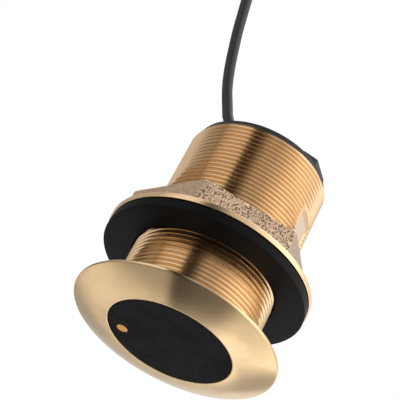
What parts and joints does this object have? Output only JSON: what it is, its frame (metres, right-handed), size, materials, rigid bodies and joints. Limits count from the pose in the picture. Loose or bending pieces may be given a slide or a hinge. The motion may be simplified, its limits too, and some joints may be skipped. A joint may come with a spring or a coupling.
{
  "type": "sonar transducer",
  "caption": "Bronze through-hull sonar transducer: round flange with a flat acoustic window, threaded stem, hull nut and washer, and a coiled cable with a screwed plug.",
  "frame": {"origin": "centre of the acoustic window's face, the lowest point of the part", "axes": "+Z along the stem's axis, from the window's face up to the cable; the cable and its coil lie towards -X"},
  "size_m": [0.2378, 0.1017, 0.1886],
  "materials": {
    "bronze": "satin turned bronze",
    "probe_brass": "satin",
    "window": "matte cast urethane",
    "rubber": "matte",
    "jacket": "satin jacket",
    "cap": "satin",
    "nylon": "satin",
    "strap": "woven",
    "cork": "matte",
    "felt": "matte",
    "ceramic": "fired",
    "resin": "cast",
    "board": "laminate",
    "ferrite": "matte",
    "copper": "satin",
    "leads": "satin",
    "pins": "gilt"
  },
  "bodies": {
    "transducer": {"housing": "bronze", "acoustic_window": "window", "temperature_probe": "probe_brass", "thermistor": "resin", "thermistor_lead_1": "leads", "thermistor_lead_2": "leads", "isolation_cup": "cork", "piezo_disc": "ceramic", "backing_pad": "felt", "element_lead_positive": "leads", "element_lead_negative": "leads", "resin_fill": "resin", "circuit_board": "board", "id_chip": "board", "transformer_core": "ferrite", "transformer_winding": "copper", "top_cap": "cap", "cap_seal": "rubber", "cable_gland": "rubber", "cable_conductor_1": "leads", "cable_conductor_2": "leads", "cable_conductor_3": "leads", "cable_conductor_4": "leads", "cable": "jacket", "cable_coil": "jacket", "coil_tie_1": "strap", "coil_tie_2": "strap", "coil_tie_3": "strap", "cable_tail": "jacket", "plug_boot": "rubber", "plug_body": "nylon", "plug_insert": "nylon", "plug_pin_1": "pins", "plug_pin_2": "pins", "plug_pin_3": "pins", "plug_pin_4": "pins", "plug_pin_5": "pins", "plug_seal": "rubber"},
    "washer": {"nut_washer": "rubber"},
    "nut": {"hull_nut": "bronze"},
    "plug_ring": {"plug_collar": "nylon"}
  },
  "joints": [
    {"name": "nut_travel", "type": "slide", "parent": "transducer", "child": "washer", "axis": [0, 0, 1], "range_m": [-0.0256, 0.036]},
    {"name": "nut_turn", "type": "hinge", "parent": "washer", "child": "nut", "pos_m": [0, 0, 0.043], "axis": [0, 0, 1], "range_deg": [-4608, 6480]},
    {"name": "plug_ring_turn", "type": "hinge", "parent": "transducer", "child": "plug_ring", "pos_m": [-0.116, 0.042, 0.04233], "axis": [1, 0, 0], "continuous": true}
  ],
  "couplings": [
    {"joint": "nut_travel", "follows": "nut_turn", "m_per_rad": 0.00031831}
  ]
}
